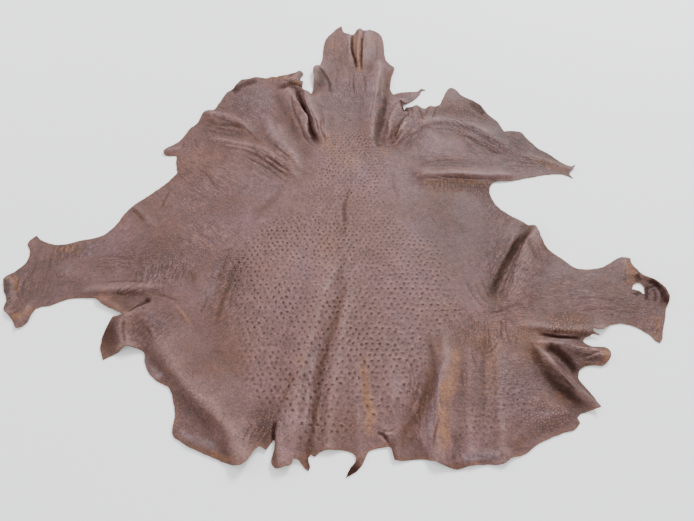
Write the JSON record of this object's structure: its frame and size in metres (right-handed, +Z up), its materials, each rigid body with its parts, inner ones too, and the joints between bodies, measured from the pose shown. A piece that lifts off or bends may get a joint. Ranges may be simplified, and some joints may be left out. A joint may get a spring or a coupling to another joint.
{
  "type": "leather hide",
  "caption": "Whole tanned ostrich hide, quill-bumped grain side up, laid open with raised creases and a ragged trimmed edge.",
  "frame": {"origin": "centre of the hide's plan, on the surface that it rests on", "axes": "+X towards the right leg flap, +Y towards the neck, +Z up, out of the grain side"},
  "size_m": [1.484, 1.434, 0.0297],
  "materials": {
    "hide": "dry crust leather, dull satin"
  },
  "bodies": {
    "root": {"hide": "hide"}
  },
  "joints": []
}
